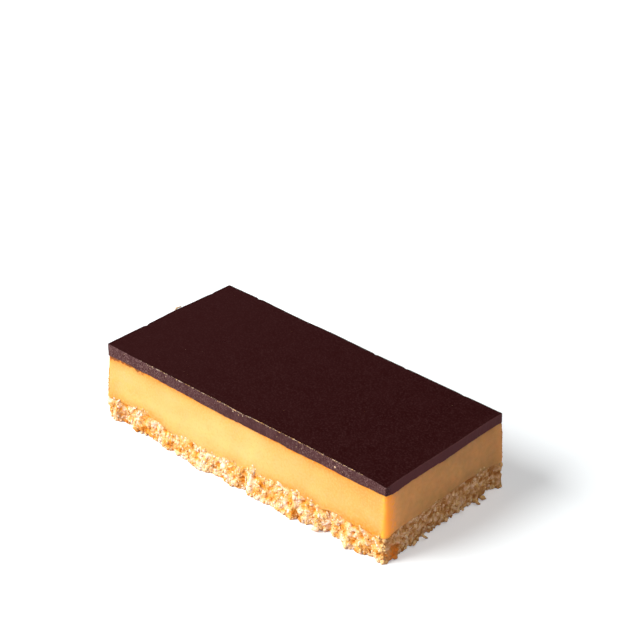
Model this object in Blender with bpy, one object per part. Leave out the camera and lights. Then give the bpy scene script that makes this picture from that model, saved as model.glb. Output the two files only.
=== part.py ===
"""A caramel slice: one finger cut from a tray bake of three layers.

A pressed crumb base carries a thick layer of set caramel, and a thin sheet of dark chocolate
covers the top. X runs along the finger, Y across it and +Z is up. The origin is the middle of
the underside, so the slice stands on the plane z = 0. Lengths are in metres.

Each layer starts as a block that is cut by planes into a grid of faces. The corners of those
faces are then moved by functions of their place: they round the corners and edges, follow the
wavy line where two layers meet, and leave the cut sides as uneven as a knife leaves them.
"""

import math

import bmesh
import bpy
from mathutils import Vector, noise

# Driving dimensions of the finger, measured at the chocolate.
LENGTH = 0.105
WIDTH = 0.0481
HEIGHT = 0.0246
BASE_HEIGHT = 0.0084
CHOCOLATE_THICKNESS = 0.0029

# Layers touch in the real slice. Their solids keep this gap.
LAYER_GAP = 0.0003

# Radius of the four upright corners of each layer.
BASE_CORNER = 0.0020
CARAMEL_CORNER = 0.0013
CHOCOLATE_CORNER = 0.0008

# Radius of the crumbled edge round the underside, and of the worn edge of the chocolate.
FOOT_RADIUS = 0.0013
CHOCOLATE_EDGE = 0.0004

# The weight of the slice spreads its lower layers past the edge of the chocolate.
CARAMEL_SPREAD = 0.0004
BASE_SPREAD = 0.0009

# The deepest that each layer's cut sides fall behind the straight line of the knife.
BASE_HOLLOW = 0.0008
CARAMEL_HOLLOW = 0.00035
CHOCOLATE_HOLLOW = 0.00015

# Distance between the soft hollows of each layer's cut sides.
BASE_HOLLOW_SPACING = 0.0045
CARAMEL_HOLLOW_SPACING = 0.016
CHOCOLATE_HOLLOW_SPACING = 0.020

# The base was pressed thin under a stretch of the -Y side, and left thick near the +X end.
DIP_DEPTH = 0.0019
DIP_X = -0.014
DIP_REACH_X = 0.018
DIP_REACH_Y = 0.025
RISE_HEIGHT = 0.0022
RISE_Y = 0.010
RISE_REACH_X = 0.030
RISE_REACH_Y = 0.016

# The chocolate is thickest in the middle of the -Y side, and thinner towards the +Y side.
CHOCOLATE_TAPER = 0.00045
POOL_DEPTH = 0.0003
POOL_X = -0.002
POOL_REACH_X = 0.018
POOL_REACH_Y = 0.020

# Distance between the planes that cut a block into faces.
FACE_PITCH = 0.003

HALF_LENGTH = LENGTH / 2
HALF_WIDTH = WIDTH / 2
CARAMEL_TOP = HEIGHT - CHOCOLATE_THICKNESS


def clear_scene():
    """Remove every object, so that the script starts from an empty scene."""
    for thing in list(bpy.data.objects):
        bpy.data.objects.remove(thing, do_unlink=True)


def make_collection(name):
    collection = bpy.data.collections.new(name)
    bpy.context.scene.collection.children.link(collection)
    return collection


def make_material(name, color, roughness):
    material = bpy.data.materials.new(name)
    material.use_nodes = True
    shader = material.node_tree.nodes["Principled BSDF"]
    shader.inputs["Base Color"].default_value = (*color, 1.0)
    shader.inputs["Roughness"].default_value = roughness
    shader.inputs["Metallic"].default_value = 0.0
    return material


def base_top(x, y):
    """Height of the pressed crumb under the caramel."""
    from_side = (y + HALF_WIDTH) / DIP_REACH_Y
    dip = math.exp(-(((x - DIP_X) / DIP_REACH_X) ** 4) - from_side**2)
    from_end = (x - HALF_LENGTH) / RISE_REACH_X
    rise = math.exp(-(from_end**2) - ((y - RISE_Y) / RISE_REACH_Y) ** 2)
    return BASE_HEIGHT - DIP_DEPTH * dip + RISE_HEIGHT * rise


def caramel_top(x, y):
    """Height of the set caramel under the chocolate."""
    from_side = (y + HALF_WIDTH) / POOL_REACH_Y
    pool = math.exp(-(((x - POOL_X) / POOL_REACH_X) ** 2) - from_side**2)
    return CARAMEL_TOP + CHOCOLATE_TAPER * y / HALF_WIDTH - POOL_DEPTH * pool


def cuts_along(half, corner):
    """Places of the cuts across one axis: even steps between the corners, one more in each."""
    inner = half - corner
    steps = round(2 * inner / FACE_PITCH)
    even = [inner * (2 * step / steps - 1) for step in range(steps + 1)]
    mid_corner = half - corner / 2
    return [-mid_corner, *even, mid_corner]


def cut_block(corner, heights):
    """A block of the finger's length and width, cut into faces, with the given heights."""
    bm = bmesh.new()
    bmesh.ops.create_cube(bm, size=1.0)
    low, high = heights[0], heights[-1]
    bmesh.ops.scale(bm, vec=(LENGTH, WIDTH, high - low), verts=bm.verts)
    bmesh.ops.translate(bm, vec=(0.0, 0.0, (low + high) / 2), verts=bm.verts)
    planes = [(Vector((x, 0, 0)), Vector((1, 0, 0))) for x in cuts_along(HALF_LENGTH, corner)]
    planes += [(Vector((0, y, 0)), Vector((0, 1, 0))) for y in cuts_along(HALF_WIDTH, corner)]
    planes += [(Vector((0, 0, z)), Vector((0, 0, 1))) for z in heights[1:-1]]
    for point, normal in planes:
        everything = bm.verts[:] + bm.edges[:] + bm.faces[:]
        bmesh.ops.bisect_plane(bm, geom=everything, plane_co=point, plane_no=normal)
    return bm


def round_upright_corner(x, y, corner):
    """Pull a point of a corner square in, so that the square's outer corner becomes an arc."""
    over_x = abs(x) - (HALF_LENGTH - corner)
    over_y = abs(y) - (HALF_WIDTH - corner)
    if over_x <= 0 or over_y <= 0:
        return x, y
    shrink = max(over_x, over_y) / math.hypot(over_x, over_y)
    x = math.copysign(HALF_LENGTH - corner + over_x * shrink, x)
    y = math.copysign(HALF_WIDTH - corner + over_y * shrink, y)
    return x, y


def hollow(place, spacing, depth, seed):
    """How far a cut side falls back at a place: none at its proudest points, depth at most."""
    shift = Vector((seed, 2.3 * seed, 5.1 * seed))
    swell = noise.noise(place / spacing + shift)
    return depth * min(1.0, max(0.0, 0.4 - 0.9 * swell))


def move_sides_out(x, y, outward):
    """Move a point outwards. The move fades to nothing towards the middle of the slice."""
    x += outward * (x / HALF_LENGTH) ** 3
    y += outward * (y / HALF_WIDTH) ** 3
    return x, y


def quarter_round(distance, radius):
    """How far a rounded edge falls back, at a distance from the face that it ends on."""
    left = min(radius, max(0.0, radius - distance))
    return radius - math.sqrt(radius**2 - left**2)


def shape_base(point):
    """The crumb base: rough sides, a crumbled foot, a flat underside and a wavy top."""
    x, y = round_upright_corner(point.x, point.y, BASE_CORNER)
    share = point.z / BASE_HEIGHT
    outward = CARAMEL_SPREAD + (BASE_SPREAD - CARAMEL_SPREAD) * min(1.0, 2.5 * (1.0 - share))
    outward -= quarter_round(point.z, FOOT_RADIUS)
    outward -= hollow(Vector((x, y, point.z)), BASE_HOLLOW_SPACING, BASE_HOLLOW, 1.0)
    x, y = move_sides_out(x, y, outward)
    return Vector((x, y, share * base_top(x, y)))


def shape_caramel(point):
    """The caramel: smooth sides that spread a little downwards, between two wavy lines."""
    x, y = round_upright_corner(point.x, point.y, CARAMEL_CORNER)
    share = (point.z - BASE_HEIGHT) / (CARAMEL_TOP - BASE_HEIGHT)
    outward = CARAMEL_SPREAD * (1.0 - share)
    outward -= hollow(Vector((x, y, point.z)), CARAMEL_HOLLOW_SPACING, CARAMEL_HOLLOW, 2.0)
    x, y = move_sides_out(x, y, outward)
    bottom = base_top(x, y) + LAYER_GAP
    return Vector((x, y, bottom + share * (caramel_top(x, y) - bottom)))


def shape_chocolate(point):
    """The chocolate: a sheet with a flat top, crisp sides and a worn upper edge."""
    x, y = round_upright_corner(point.x, point.y, CHOCOLATE_CORNER)
    share = (point.z - CARAMEL_TOP) / CHOCOLATE_THICKNESS
    outward = -quarter_round(HEIGHT - point.z, CHOCOLATE_EDGE)
    outward -= hollow(Vector((x, y, 0.0)), CHOCOLATE_HOLLOW_SPACING, CHOCOLATE_HOLLOW, 3.0)
    x, y = move_sides_out(x, y, outward)
    bottom = caramel_top(x, y) + LAYER_GAP
    return Vector((x, y, bottom + share * (HEIGHT - bottom)))


def join_flat_faces(bm, height):
    """Join the faces that lie flat at a height into one face."""
    level = [face for face in bm.faces if all(abs(v.co.z - height) < 1e-7 for v in face.verts)]
    edges = {edge for face in level for edge in face.edges}
    inner = [edge for edge in edges if all(face in level for face in edge.link_faces)]
    bmesh.ops.dissolve_edges(bm, edges=inner, use_verts=True)


def make_layer(name, corner, heights, shape, material, collection):
    """One layer of the slice, as an object whose origin is the slice's own."""
    bm = cut_block(corner, heights)
    for vert in bm.verts:
        vert.co = shape(vert.co.copy())
    for flat in (0.0, HEIGHT):
        join_flat_faces(bm, flat)
    bmesh.ops.triangulate(bm, faces=bm.faces)
    bmesh.ops.recalc_face_normals(bm, faces=bm.faces)
    mesh = bpy.data.meshes.new(name)
    bm.to_mesh(mesh)
    bm.free()
    mesh.materials.append(material)
    mesh.shade_smooth()
    mesh.set_sharp_from_angle(angle=math.radians(40))
    layer = bpy.data.objects.new(name, mesh)
    collection.objects.link(layer)
    return layer


def make_base(collection):
    crumb = make_material("crumb", (0.72, 0.42, 0.17), 0.85)
    foot = [0.0, 0.25 * FOOT_RADIUS, FOOT_RADIUS]
    sides = [0.4 * BASE_HEIGHT, 0.7 * BASE_HEIGHT, BASE_HEIGHT]
    make_layer("biscuit_base", BASE_CORNER, foot + sides, shape_base, crumb, collection)


def make_caramel(collection):
    caramel = make_material("caramel", (0.95, 0.62, 0.24), 0.45)
    strips = 4
    strip = (CARAMEL_TOP - BASE_HEIGHT) / strips
    heights = [BASE_HEIGHT + strip * count for count in range(strips)] + [CARAMEL_TOP]
    make_layer("caramel_layer", CARAMEL_CORNER, heights, shape_caramel, caramel, collection)


def make_chocolate(collection):
    chocolate = make_material("chocolate", (0.035, 0.012, 0.010), 0.35)
    worn = [HEIGHT - CHOCOLATE_EDGE, HEIGHT - 0.25 * CHOCOLATE_EDGE, HEIGHT]
    heights = [CARAMEL_TOP, *worn]
    make_layer(
        "chocolate_layer", CHOCOLATE_CORNER, heights, shape_chocolate, chocolate, collection
    )


def main():
    clear_scene()
    layers = make_collection("caramel_slice")
    make_base(layers)
    make_caramel(layers)
    make_chocolate(layers)


main()
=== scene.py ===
# %% [markdown]
# # Caramel slice
# A finger of caramel slice has three layers: a base of pressed biscuit and coconut crumb, a
# thick bed of set caramel and a thin sheet of dark chocolate. The knife leaves every layer with
# its own kind of side: crumbly, silky or scratched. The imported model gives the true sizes, and
# this file makes the looks around it. Lengths are in millimetres until a mesh is made.

import math

import bmesh
import bpy
import numpy as np
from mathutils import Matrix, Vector, noise


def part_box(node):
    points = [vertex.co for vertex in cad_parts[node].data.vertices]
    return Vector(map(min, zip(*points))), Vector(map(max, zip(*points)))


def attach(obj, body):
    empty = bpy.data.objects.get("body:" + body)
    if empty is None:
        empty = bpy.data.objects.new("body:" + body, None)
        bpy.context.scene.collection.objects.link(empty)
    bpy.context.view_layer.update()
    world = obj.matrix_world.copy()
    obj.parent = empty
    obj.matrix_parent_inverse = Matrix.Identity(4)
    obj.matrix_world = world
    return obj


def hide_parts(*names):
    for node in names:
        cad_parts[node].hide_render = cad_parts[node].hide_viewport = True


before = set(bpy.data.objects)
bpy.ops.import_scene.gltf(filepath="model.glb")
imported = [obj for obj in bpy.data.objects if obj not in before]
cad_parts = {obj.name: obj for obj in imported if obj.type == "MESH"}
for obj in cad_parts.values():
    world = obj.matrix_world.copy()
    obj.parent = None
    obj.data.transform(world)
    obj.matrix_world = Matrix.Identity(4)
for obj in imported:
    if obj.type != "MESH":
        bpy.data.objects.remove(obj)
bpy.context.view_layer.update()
MM = 0.001

# %% [markdown]
# The layers' boxes give the sizes that all pieces share. The chocolate was cut straight, so its
# box is the knife's outline, and the lower layers are measured outwards from it.

# %% Sizes of the layers
_, chocolate_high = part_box("chocolate_layer")
HALF_LENGTH = chocolate_high.x / MM
HALF_WIDTH = chocolate_high.y / MM
TOP = chocolate_high.z / MM
CHOCOLATE_THICKNESS = 2.9
CARAMEL_TOP = TOP - CHOCOLATE_THICKNESS
BASE_HEIGHT = 8.4
print(f"chocolate {2 * HALF_LENGTH:.1f} x {2 * HALF_WIDTH:.1f} mm, top at {TOP:.1f} mm")

# %% [markdown]
# Two soft surfaces part the layers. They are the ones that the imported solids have: the base was
# pressed thin under a stretch of the front and left thick near the +X end, and the chocolate set
# a little thicker along the front.

# %% The two surfaces between the layers
DIP_X, DIP_REACH, DIP_ACROSS, DIP_DEPTH = -14, 18, 25, 1.9
RISE_X, RISE_REACH, RISE_Y, RISE_ACROSS, RISE_HEIGHT = 52.5, 30, 10, 16, 2.2
POOL_X, POOL_REACH, POOL_ACROSS, POOL_DEPTH = -2, 18, 20, 0.3
CARAMEL_TILT = 0.45


def base_top(x, y):
    """Height of the pressed crumb under the caramel."""
    dip = np.exp(-(((x - DIP_X) / DIP_REACH) ** 4) - ((y + HALF_WIDTH) / DIP_ACROSS) ** 2)
    rise = np.exp(-(((x - RISE_X) / RISE_REACH) ** 2) - ((y - RISE_Y) / RISE_ACROSS) ** 2)
    return BASE_HEIGHT - DIP_DEPTH * dip + RISE_HEIGHT * rise


def caramel_top(x, y):
    """Height of the set caramel under the chocolate."""
    pool = np.exp(-(((x - POOL_X) / POOL_REACH) ** 2) - ((y + HALF_WIDTH) / POOL_ACROSS) ** 2)
    return CARAMEL_TOP + CARAMEL_TILT * y / HALF_WIDTH - POOL_DEPTH * pool


# %% [markdown]
# At the cut sides those surfaces show as wavy lines, with lumps and drips too small for the
# solids. Each table below holds (place along the side, rise above the soft surface), and the
# line runs smoothly through them. A sine curve would repeat, and pure noise would put the
# lumps in the wrong places, so the few big ones are listed and noise adds the small ones.

# %% Lines along the cut sides
CRUMB_LINE_FRONT = (
    (-53, -0.1), (-46, 0.1), (-42, 0.4), (-38, 0.9), (-34, 0.5), (-29, -0.4), (-25, 0.2),
    (-21, 0.1), (-17, 0.0), (-13, 0.6), (-8, 0.7), (-4, 1.4), (0, 0.2), (2.5, 0.8), (4.5, 2.1),
    (6.5, 0.0), (9, -0.1), (12, 0.4), (14, 0.4), (18, 0.2), (22, 0.6), (27, 0.2), (30, -0.3),
    (33, 0.9), (36, 1.0), (39, 0.6), (42, 0.4), (45, 0.7), (49, 0.5), (53, 1.2),
)
CRUMB_LINE_END = (
    (-24, 1.4), (-18, 2.2), (-12, 1.8), (-6, 1.3), (0, 1.0), (5, 0.9), (9, 0.8), (14, 0.4), (20, 0.6),
    (24, 0.8),
)
CHOCOLATE_LINE_FRONT = (
    (-53, -0.5), (-50, -0.25), (-45, 0.05), (-42, -0.15), (-36, 0.05), (-31, -0.12), (-24, -0.1),
    (-15, -0.24), (-9, -0.12), (-6, -0.25), (-1, 0.05), (10, -0.07), (15, 0.0), (18, -0.28),
    (27, -0.12), (30, 0.03), (36, -0.07), (44, 0.06), (49, 0.34), (53, 0.4),
)
CHOCOLATE_LINE_END = (
    (-24, 0.0), (-19, -0.1), (-14, 0.15), (-10, -0.1), (-5, 0.0), (0, -0.4), (8, -0.2),
    (14, -0.35), (24, -0.45),
)
SIDE_DEPTH = 1.5


def rises(places, line):
    """The value at each place, from a line's (place, value) pairs. It holds past both ends."""
    along, values = np.array(line, float).T
    return np.interp(places, along, values)


def near_side(distance):
    """How much a point belongs to a side: 1 on it, fading to 0 a little way inside."""
    return np.clip(1.5 - distance / SIDE_DEPTH, 0, 1)


def crumb_line(x, y):
    """Height where crumb ends and caramel begins, with the lumps of the sides that show."""
    front = near_side(y + HALF_WIDTH)
    end = near_side(HALF_LENGTH - x) * (1 - front)
    return base_top(x, y) + front * rises(x, CRUMB_LINE_FRONT) + end * rises(y, CRUMB_LINE_END)


def chocolate_line(x, y):
    """Height where caramel ends and chocolate begins."""
    front = near_side(y + HALF_WIDTH) * rises(x, CHOCOLATE_LINE_FRONT)
    end = near_side(HALF_LENGTH - x) * rises(y, CHOCOLATE_LINE_END)
    return caramel_top(x, y) + front + end


# %% [markdown]
# A long knife never cuts a true rectangle. These tables say how far each cut stands outside the
# straight line along it. They bend all three layers alike, because one cut went through them all.

# %% The four cuts
CUT_FRONT = ((-53, -0.2), (-45, 0.0), (-25, 0.05), (0, 0.12), (12, 0.05), (26, -0.1), (53, 0.05))
CUT_RIGHT = ((-24, 0.1), (-9, -0.05), (0, 0.0), (8, -0.13), (18, -0.35), (24, -0.1))
CUT_BACK = ((-53, 0.25), (-38, 0.45), (-27, 0.15), (-21, 0.1), (-10, 0.37), (6, 0.0), (53, 0.15))
CUT_LEFT = ((-24, 1.25), (-10, 0.85), (3, 0.82), (9, 0.35), (16, 0.0), (24, -0.25))


def follow_cuts(loop):
    """Move the points of a loop out to the four cuts, and those inside in proportion."""
    x, y = loop.T
    end = np.where(x < 0, rises(y, CUT_LEFT), rises(y, CUT_RIGHT))
    side = np.where(y < 0, rises(x, CUT_FRONT), rises(x, CUT_BACK))
    moved_x = x + end * (x / HALF_LENGTH) ** 9
    moved_y = y + side * (y / HALF_WIDTH) ** 9
    return np.column_stack((moved_x, moved_y))


# %% [markdown]
# All three layers are lofts: closed loops stacked from the underside to the top and joined by
# faces. A cube with modifiers would need its noise in textures, but here every point is placed
# by a formula, so each knife mark and hollow is real geometry that any renderer can see. One
# loop is walked once, round a rectangle with rounded corners, and each ring moves its points.

# %% Loops and lofts
def walk_round(corners, step):
    """Even places round the slice, anticlockwise from above: points and outward directions.

    corners holds the radii of the front, right, back and left corners, as the camera sees them.
    """
    points = []
    outwards = []
    for side in range(4):
        first_corner, last_corner = corners[side - 1], corners[side]
        start = math.radians(90 * side - 90)
        outward = np.array((math.cos(start), math.sin(start)))
        along = np.array((-outward[1], outward[0]))
        distance, reach = (HALF_WIDTH, HALF_LENGTH) if side % 2 == 0 else (HALF_LENGTH, HALF_WIDTH)
        first, last = first_corner - reach, reach - last_corner
        for place in np.linspace(first, last, round((last - first) / step), endpoint=False):
            points.append(outward * distance + along * place)
            outwards.append(outward)
        middle = outward * (distance - last_corner) + along * last
        arc_steps = max(4, round(math.pi * last_corner / 2 / step))
        for turn in np.linspace(0, math.pi / 2, arc_steps, endpoint=False):
            direction = np.array((math.cos(start + turn), math.sin(start + turn)))
            points.append(middle + direction * last_corner)
            outwards.append(direction)
    return follow_cuts(np.array(points)), np.array(outwards)


def shrink(loop, inset):
    """The loop moved inwards from all sides by an inset, down to a line along the middle."""
    keep = np.array(((HALF_LENGTH - inset) / HALF_LENGTH, (HALF_WIDTH - inset) / HALF_WIDTH))
    return loop * np.clip(keep, 0, 1)


def mesh_object(name, points, faces):
    """An object with a smooth-shaded mesh, from points in mm."""
    mesh = bpy.data.meshes.new(name)
    mesh.from_pydata((points * MM).tolist(), [], faces.tolist())
    mesh.shade_smooth()
    piece = bpy.data.objects.new(name, mesh)
    bpy.context.scene.collection.objects.link(piece)
    return piece


def paint(piece, name, values):
    """Keep one number for each point of a piece, for its material to read."""
    layer = piece.data.attributes.new(name, "FLOAT", "POINT")
    layer.data.foreach_set("value", np.asarray(values, np.float32))


def loft_faces(rings, around):
    """Four-sided faces between rings of points, each ring closed."""
    ring, place = np.meshgrid(np.arange(rings - 1), np.arange(around), indexing="ij")
    after = (place + 1) % around
    corners = (ring * around + place, ring * around + after)
    above = ((ring + 1) * around + after, (ring + 1) * around + place)
    return np.stack([*corners, *above], axis=-1).reshape(-1, 4)


def stack(rings):
    """Points of a loft from (loop, heights) pairs."""
    return np.concatenate([np.column_stack((loop, heights)) for loop, heights in rings])


# %% [markdown]
# Two kinds of noise shape food. Smooth noise gives swells and hollows. Cell noise gives
# pebbles: its value is the distance to the nearest of many scattered centres.

# %% Noise at many points
def swell(points, size, seed=0.0):
    """Smooth noise, about -0.6 to 0.6, with swells of a size in mm."""
    shift = Vector((seed, 2.3 * seed, 5.1 * seed))
    scaled = np.asarray(points) / size
    return np.array([noise.noise(Vector(point) + shift) for point in scaled])


def swells(points, layers):
    """Smooth noise in layers, each given as (amount, size, seed), added up."""
    return sum(amount * swell(points, size, seed) for amount, size, seed in layers)


def pebble(points, size, seed=0.0):
    """Cell noise: 0 at the middle of a pebble, about 0.6 in the cracks between pebbles."""
    shift = Vector((seed, 2.3 * seed, 5.1 * seed))
    scaled = np.asarray(points) / size
    return np.array([noise.voronoi(Vector(point) + shift)[0][0] for point in scaled])


def flat_points(loop, height):
    """Points of a loop, all at a height that is one number or one for each point."""
    return np.column_stack((loop, np.broadcast_to(height, len(loop))))


# %% [markdown]
# Materials are built from a few nodes. These helpers keep the recipes short: a socket takes a
# colour, a number or another node's output, and noise sizes are given in mm, because a texture
# reads the piece's own coordinates in metres.

# %% Helpers for materials
class Finish:
    """A node material that is written as a recipe."""

    def __init__(self, name):
        self.material = bpy.data.materials.new(name)
        self.material.use_nodes = True
        self.tree = self.material.node_tree
        self.shader = self.tree.nodes["Principled BSDF"]
        self.place = self.add("ShaderNodeTexCoord").outputs["Object"]

    def add(self, kind, **settings):
        node = self.tree.nodes.new(kind)
        for key, value in settings.items():
            setattr(node, key, value)
        return node

    def feed(self, socket, value):
        if isinstance(value, bpy.types.NodeSocket):
            self.tree.links.new(value, socket)
        elif isinstance(value, tuple) and len(value) == 3 and socket.type == "RGBA":
            socket.default_value = (*value, 1.0)
        else:
            socket.default_value = value

    def set(self, **values):
        for name, value in values.items():
            self.feed(self.shader.inputs[name.replace("_", " ")], value)

    def read(self, name):
        return self.add("ShaderNodeAttribute", attribute_name=name).outputs["Fac"]

    def blotches(self, size, detail=2.0, stretch=(1.0, 1.0, 1.0), rough=0.5):
        """Smooth noise from 0 to 1, with blotches about size mm across."""
        mapping = self.add("ShaderNodeMapping")
        mapping.inputs["Scale"].default_value = [1 / (size * MM * pull) for pull in stretch]
        self.feed(mapping.inputs["Vector"], self.place)
        texture = self.add("ShaderNodeTexNoise")
        texture.inputs["Scale"].default_value = 1.0
        texture.inputs["Detail"].default_value = detail
        texture.inputs["Roughness"].default_value = rough
        self.feed(texture.inputs["Vector"], mapping.outputs["Vector"])
        return texture.outputs["Fac"]

    def cells(self, size):
        """Distance to the nearest of scattered centres, about size mm apart."""
        texture = self.add("ShaderNodeTexVoronoi")
        texture.inputs["Scale"].default_value = 1 / (size * MM)
        self.feed(texture.inputs["Vector"], self.place)
        return texture.outputs["Distance"]

    def span(self, value, low, high, to_low=0.0, to_high=1.0):
        """Stretch the part of a value between low and high, and hold the rest."""
        node = self.add("ShaderNodeMapRange")
        for name, number in (("Value", value), ("From Min", low), ("From Max", high)):
            self.feed(node.inputs[name], number)
        node.inputs["To Min"].default_value = to_low
        node.inputs["To Max"].default_value = to_high
        return node.outputs["Result"]

    def math(self, operation, first, second=0.0):
        node = self.add("ShaderNodeMath", operation=operation)
        self.feed(node.inputs[0], first)
        self.feed(node.inputs[1], second)
        return node.outputs["Value"]

    def mix(self, share, first, second, how="MIX"):
        """Blend two colours by a share."""
        node = self.add("ShaderNodeMix", data_type="RGBA", blend_type=how)
        sockets = {socket.identifier: socket for socket in node.inputs}
        self.feed(sockets["Factor_Float"], share)
        self.feed(sockets["A_Color"], first)
        self.feed(sockets["B_Color"], second)
        return next(out for out in node.outputs if out.identifier == "Result_Color")

    def ramp(self, value, stops):
        """Turn a value into a colour, by (place, colour) stops."""
        node = self.add("ShaderNodeValToRGB")
        elements = node.color_ramp.elements
        while len(elements) < len(stops):
            elements.new(0.5)
        for element, (position, color) in zip(elements, stops):
            element.position = position
            element.color = (*color, 1.0)
        self.feed(node.inputs["Fac"], value)
        return node.outputs["Color"]

    def bump(self, height, distance, strength=1.0):
        """Fine relief, distance mm deep, too small to be worth geometry."""
        node = self.add("ShaderNodeBump")
        node.inputs["Distance"].default_value = distance * MM
        node.inputs["Strength"].default_value = strength
        self.feed(node.inputs["Height"], height)
        self.feed(self.shader.inputs["Normal"], node.outputs["Normal"])


def finish_piece(piece, finish, slot_name, *nodes):
    """Give a piece its material and its place on the body. slot_name is not used."""
    piece.data.materials.append(finish.material)
    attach(piece, "root")
    if nodes:
        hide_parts(*nodes)
    piece.data.update()
    print(f"{piece.name}: {len(piece.data.vertices)} points, {len(piece.data.polygons)} faces")


# %% [markdown]
# ## Chocolate
# The sheet of chocolate was poured on the set caramel and cut with a long knife, so its top is
# flat and satin and its sides are dull, pale with dust and lined by the blade. Its lower edge is
# ragged where the knife dragged it into the caramel. The loft has points every 0.2 mm, which is
# fine enough for blade marks as geometry.

# %% Chocolate: edges
CHOCOLATE_STEP = 0.2
CHOCOLATE_CORNERS = (0.5, 0.35, 0.4, 0.35)
CHOCOLATE_EDGE = 0.16
DENT_X, DENT_REACH, DENT_DEPTH = -1.0, 3.4, 0.22
SLUMP_REACH, SLUMP_DEPTH = 2.2, 0.36
TOP_SWELLS = ((0.03, 9.0, 10.0),)
TOP_SINK = 0.015
EDGE_NOTCHES = (
    (-53.3, -9.0, 0.55, 0.45), (-52.5, 17.0, 0.8, 0.2), (-39.7, 24.3, 0.6, 0.45),
    (6.6, 24.05, 0.5, 0.3), (17.9, 24.05, 0.6, 0.3), (39.0, 24.05, 0.9, 0.25),
    (-46.0, -24.05, 0.8, 0.15), (-2.6, -24.05, 0.5, 0.25), (34.0, -24.05, 0.4, 0.12),
)


def top_height(x, y):
    """Height of the chocolate's top: flat, but for a dent, a worn front corner and faint swells."""
    dent = DENT_DEPTH * np.exp(-(((x - DENT_X) / DENT_REACH) ** 2)) * near_side(y + HALF_WIDTH)
    from_corner = np.hypot(x - HALF_LENGTH, y + HALF_WIDTH)
    slump = SLUMP_DEPTH * np.exp(-((from_corner / SLUMP_REACH) ** 2))
    waves = swells(np.column_stack((x, y, 0 * x)), TOP_SWELLS) - TOP_SINK
    return TOP - dent - slump + waves


def notches(x, y):
    """How deep the chipped places of the top edge cut in."""
    depth = np.zeros(len(x))
    for notch_x, notch_y, reach, deep in EDGE_NOTCHES:
        depth += deep * np.exp(-(((x - notch_x) ** 2 + (y - notch_y) ** 2) / reach**2))
    return depth


# %% [markdown]
# The blade's marks run up and down, so their noise is stretched along the height. The rings lie
# closer together near the top edge, which is rounded there and chipped in places.

# %% Chocolate: mesh
BLADE_MARKS = ((0.035, 0.7, 4.0), (0.05, 1.9, 5.0))
BLADE_STRETCH = 0.12
CRUMBLE = ((0.03, 0.5, 6.0),)
RAGGED_EDGE = ((0.12, 1.6, 7.0), (0.10, 0.6, 8.0))
POWDER = ((-53, 1.0), (-30, 0.8), (-8, 0.35), (9, 0.05), (18, 0.3), (35, 0.65), (53, 0.6))
PAINTED_SHADE_ALONG_TOP = ((-44, 0.0), (36, 1.0))


def chocolate_side(loop, outwards, share, low, high):
    """One ring of the chocolate's cut side, at a share of the way from its lower to upper edge."""
    heights = low + share * (high - low)
    marks = swells(np.column_stack((loop, heights * BLADE_STRETCH)), BLADE_MARKS)
    crumble = swells(np.column_stack((loop, heights)), CRUMBLE)
    worn = CHOCOLATE_EDGE - np.sqrt(
        CHOCOLATE_EDGE**2 - np.clip(CHOCOLATE_EDGE - (high - heights), 0, CHOCOLATE_EDGE) ** 2
    )
    chips = notches(*loop.T) * share**3
    outward = marks + crumble - worn - chips
    return loop + outwards * outward[:, None], heights


def make_chocolate():
    loop, outwards = walk_round(CHOCOLATE_CORNERS, CHOCOLATE_STEP)
    low = chocolate_line(*loop.T) + swells(flat_points(loop, 0.0), RAGGED_EDGE)
    high = top_height(*loop.T)
    rings = []
    for inset in (HALF_WIDTH, 12.0, 4.0, 1.2):
        inner = shrink(loop, inset)
        rings.append((inner, caramel_top(*inner.T) + 0.15))
    rings.append((shrink(loop, 0.5), low + 0.12))
    side_shares = [*np.linspace(0.0, 0.92, 12), 0.955, 0.975, 0.99, 1.0]
    first_side = len(rings)
    for share in side_shares:
        rings.append(chocolate_side(loop, outwards, share, low, high))
    rim, _ = rings[-1]
    last_side = len(rings) - 1
    for inset in (0.06, 0.2, 0.5, 1.0, 2.0, 3.6, 6.0, 9.0, 13.0, 18.0, HALF_WIDTH):
        inner = shrink(rim, inset)
        rings.append((inner, top_height(*inner.T)))
    points = stack(rings)
    piece = mesh_object("chocolate", points, loft_faces(len(rings), len(loop)))
    is_side = [first_side <= ring < last_side for ring in range(len(rings))]
    paint(piece, "cut", np.repeat(is_side, len(loop)))
    # Painted light: the cut sides off the front get a paler, redder colour than the dusty front.
    paint(piece, "scuff_and_painted_bounce", np.tile(near_side(loop[:, 1] + HALF_WIDTH), len(rings)))
    paint(piece, "powder", powder(points))
    # Painted shade: the top is darker towards the right, so its left looks lit by a sheen.
    paint(piece, "deep", rises(points[:, 0], PAINTED_SHADE_ALONG_TOP))
    return piece


def powder(points):
    """How much pale dust lies on the front's cut: in drifts, and least right of the middle."""
    drifts = 0.6 * swell(points * (1.0, 1.0, 0.6), 4.0, 17.0) + 0.4 * swell(points, 1.3, 18.0)
    return np.clip(rises(points[:, 0], POWDER) + drifts, 0, 1)


chocolate = make_chocolate()

# %% [markdown]
# The top is almost black-brown with a satin skin. On a cut side the same chocolate looks pale
# and purplish, because the blade leaves it rough, with specks of fat and dust. The cut sides off
# the front are painted paler and redder still, as painted light for the bounce and reflection
# that reach them in shade. Point values tell the material where it is: `cut` on the cut sides, a
# value on the front that keeps its dusty colour from that painted light, `powder` where dust
# lies, and `deep` towards the right, painted shade that darkens the top there so its left looks
# lit. Stretched noise draws streaks.

# %% Chocolate: finish
TOP_SHADE = (0.0238, 0.0042, 0.0043)
TOP_PAINTED_SHADE = (0.0168, 0.0014, 0.0015)
TOP_MOTTLE = (0.039, 0.013, 0.013)
# Painted light: the cut sides off the front are paler and redder, for bounce and reflection in their
# shade.
PAINTED_BOUNCE_CUT = ((0.124, 0.052, 0.049), (0.142, 0.060, 0.057))
DUSTY_CUT = ((0.050, 0.0195, 0.0192), (0.073, 0.0325, 0.0315))
DUST = (0.215, 0.130, 0.118)


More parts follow.
